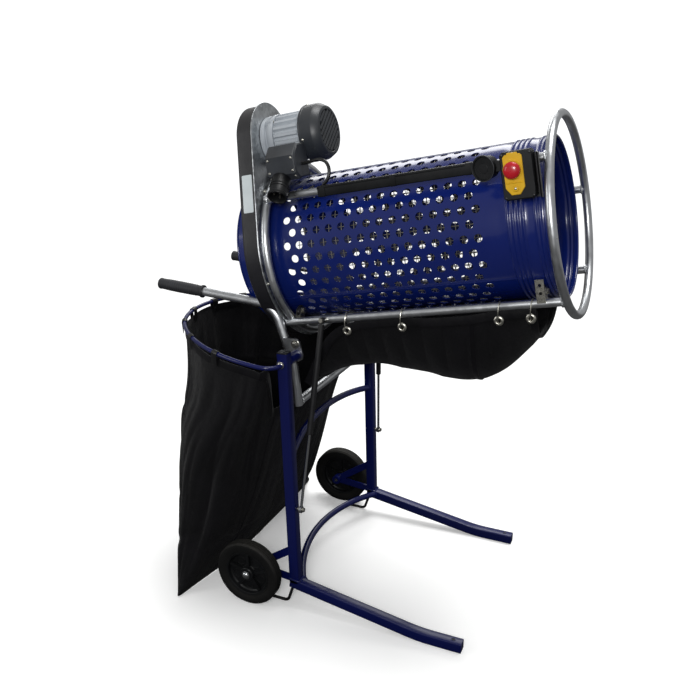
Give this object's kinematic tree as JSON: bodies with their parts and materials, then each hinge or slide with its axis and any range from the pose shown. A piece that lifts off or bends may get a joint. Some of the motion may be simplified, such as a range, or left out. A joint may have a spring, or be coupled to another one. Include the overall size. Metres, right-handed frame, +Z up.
{
  "type": "rotary drum sieve",
  "caption": "Electric rotary drum sieve on a two-wheeled stand, with a tilting cradle on gas struts, belt drive, rollers, chute and collecting bag.",
  "frame": {"origin": "on the floor under the middle of the machine's overall box", "axes": "+Z up, +X towards the drum's feed end, +Y to the far side, away from the switch; the drum's axis rises 11 degrees towards +X"},
  "size_m": [1.1924, 0.82, 1.4176],
  "materials": {
    "frame_paint": "gloss blue powder coat",
    "drum_paint": "gloss deep blue paint",
    "galvanised_tube": "bright zinc-plated tube, satin",
    "galvanised_plate": "spangled galvanised sheet",
    "zinc_steel": "zinc-plated fasteners",
    "bright_caps": "bright pressed caps",
    "chromed_rod": "polished hard chrome",
    "black_steel": "satin black paint",
    "black_plastic": "moulded, fine grain",
    "guard_plastic": "moulded dark grey, fine grain",
    "roller_plastic": "turned nylon",
    "yellow_plastic": "moulded yellow",
    "red_plastic": "moulded red",
    "green_plastic": "moulded green",
    "tyre_rubber": "ribbed solid rubber",
    "grip_rubber": "soft dark grey grip",
    "belt_rubber": "ribbed belt",
    "cable_rubber": "rubber-sheathed lead",
    "motor_paint": "light grey-green paint over cast aluminium",
    "cast_aluminium": "as cast",
    "mesh_wire": "woven wire",
    "black_fabric": "coated nylon, matt"
  },
  "bodies": {
    "stand": {"near_post": "frame_paint", "far_post": "frame_paint", "near_leg": "frame_paint", "far_leg": "frame_paint", "stand_arches": "frame_paint", "post_caps": "black_plastic", "wheel_brackets": "frame_paint", "wheel_axles": "zinc_steel", "hub_caps": "bright_caps", "rest_feet": "black_steel", "bag_ring": "frame_paint", "pivot_bolts": "zinc_steel", "strut_studs": "zinc_steel", "collecting_bag": "black_fabric"},
    "cradle": {"near_handle": "galvanised_tube", "far_handle": "galvanised_tube", "handle_grips": "grip_rubber", "cross_tube": "galvanised_tube", "pivot_lugs": "galvanised_tube", "cradle_bolts": "zinc_steel", "feed_ring": "galvanised_tube", "rear_hoop": "galvanised_tube", "lower_rails": "galvanised_tube", "upper_rails": "galvanised_tube", "roller_brackets": "zinc_steel", "roller_axles": "zinc_steel", "guard_shell": "guard_plastic", "guard_plate": "galvanised_plate", "drive_belt": "belt_rubber", "gearbox_housing": "cast_aluminium", "motor_body": "motor_paint", "motor_fan_cover": "guard_plastic", "terminal_box": "guard_plastic", "motor_inlet": "black_plastic", "motor_cable": "cable_rubber", "cable_duct": "black_plastic", "switch_box": "black_plastic", "switch_plate": "yellow_plastic", "switch_bracket": "black_steel", "switch_inlet": "black_plastic", "chute_sheet": "black_fabric", "chute_hooks": "zinc_steel"},
    "drum": {"drum_shell": "drum_paint", "mesh_liner": "mesh_wire"},
    "pulley": {"drive_pulley": "cast_aluminium"},
    "rotor": {"motor_rotor": "zinc_steel"},
    "near_wheel": {"near_tyre": "tyre_rubber", "near_wheel_centre": "black_plastic"},
    "far_wheel": {"far_tyre": "tyre_rubber", "far_wheel_centre": "black_plastic"},
    "near_feed_roller": {"near_feed_roller": "roller_plastic"},
    "far_feed_roller": {"far_feed_roller": "roller_plastic"},
    "near_rear_roller": {"near_rear_roller": "roller_plastic"},
    "far_rear_roller": {"far_rear_roller": "roller_plastic"},
    "near_strut_cylinder": {"near_strut_cylinder": "black_steel"},
    "far_strut_cylinder": {"far_strut_cylinder": "black_steel"},
    "near_strut_rod": {"near_strut_rod": "chromed_rod"},
    "far_strut_rod": {"far_strut_rod": "chromed_rod"},
    "stop_button": {"stop_button": "red_plastic"},
    "start_button": {"start_button": "green_plastic"}
  },
  "joints": [
    {"name": "near_wheel_spin", "type": "hinge", "parent": "stand", "child": "near_wheel", "pos_m": [-0.24617, -0.33, 0.1], "axis": [0, 1, 0], "continuous": true},
    {"name": "far_wheel_spin", "type": "hinge", "parent": "stand", "child": "far_wheel", "pos_m": [-0.24617, 0.33, 0.1], "axis": [0, 1, 0], "continuous": true},
    {"name": "cradle_tilt", "type": "hinge", "parent": "stand", "child": "cradle", "pos_m": [-0.13317, 0, 0.757], "axis": [0, 1, 0], "range_deg": [0, 20]},
    {"name": "drum_spin", "type": "hinge", "parent": "cradle", "child": "drum", "pos_m": [0.51783, 0, 1.15], "axis": [0.9816, 0, 0.1908], "continuous": true},
    {"name": "pulley_spin", "type": "hinge", "parent": "cradle", "child": "pulley", "pos_m": [-0.29913, -0.07, 1.307], "axis": [0.9816, 0, 0.1908], "continuous": true},
    {"name": "rotor_spin", "type": "hinge", "parent": "cradle", "child": "rotor", "pos_m": [-0.17447, -0.07, 1.33123], "axis": [0.9816, 0, 0.1908], "continuous": true},
    {"name": "near_feed_roller_spin", "type": "hinge", "parent": "cradle", "child": "near_feed_roller", "pos_m": [0.50887, -0.15365, 0.99173], "axis": [0.9816, 0, 0.1908], "continuous": true},
    {"name": "far_feed_roller_spin", "type": "hinge", "parent": "cradle", "child": "far_feed_roller", "pos_m": [0.50887, 0.15365, 0.99173], "axis": [0.9816, 0, 0.1908], "continuous": true},
    {"name": "near_rear_roller_spin", "type": "hinge", "parent": "cradle", "child": "near_rear_roller", "pos_m": [-0.14882, -0.15365, 0.86389], "axis": [0.9816, 0, 0.1908], "continuous": true},
    {"name": "far_rear_roller_spin", "type": "hinge", "parent": "cradle", "child": "far_rear_roller", "pos_m": [-0.14882, 0.15365, 0.86389], "axis": [0.9816, 0, 0.1908], "continuous": true},
    {"name": "near_strut_swing", "type": "hinge", "parent": "cradle", "child": "near_strut_cylinder", "pos_m": [-0.06017, -0.204, 0.862], "axis": [-0.0459, -0.9854, 0.1638], "range_deg": [0, 16.1]},
    {"name": "near_strut_slide", "type": "slide", "parent": "near_strut_cylinder", "child": "near_strut_rod", "axis": [-0.0549, -0.1612, -0.9854], "range_m": [-0.0285, 0]},
    {"name": "far_strut_swing", "type": "hinge", "parent": "cradle", "child": "far_strut_cylinder", "pos_m": [-0.06017, 0.204, 0.862], "axis": [0.0459, -0.9854, -0.1638], "range_deg": [0, 16.1]},
    {"name": "far_strut_slide", "type": "slide", "parent": "far_strut_cylinder", "child": "far_strut_rod", "axis": [-0.0549, 0.1612, -0.9854], "range_m": [-0.0285, 0]},
    {"name": "stop_press", "type": "slide", "parent": "cradle", "child": "stop_button", "axis": [0, 1, 0], "range_m": [0, 0.006], "stiffness_N_per_m": 400, "springref_m": -0.002},
    {"name": "start_press", "type": "slide", "parent": "cradle", "child": "start_button", "axis": [0, 1, 0], "range_m": [0, 0.003], "stiffness_N_per_m": 500, "springref_m": -0.002}
  ],
  "couplings": [
    {"joint": "pulley_spin", "follows": "drum_spin", "ratio": 4.5},
    {"joint": "rotor_spin", "follows": "drum_spin", "ratio": 36},
    {"joint": "near_feed_roller_spin", "follows": "drum_spin", "ratio": -11.765},
    {"joint": "far_feed_roller_spin", "follows": "drum_spin", "ratio": -11.765},
    {"joint": "near_rear_roller_spin", "follows": "drum_spin", "ratio": -11.765},
    {"joint": "far_rear_roller_spin", "follows": "drum_spin", "ratio": -11.765},
    {"joint": "near_strut_swing", "follows": "cradle_tilt", "ratio": 0.80261},
    {"joint": "near_strut_slide", "follows": "cradle_tilt", "m_per_rad": -0.08028},
    {"joint": "far_strut_swing", "follows": "cradle_tilt", "ratio": 0.80261},
    {"joint": "far_strut_slide", "follows": "cradle_tilt", "m_per_rad": -0.08028}
  ]
}
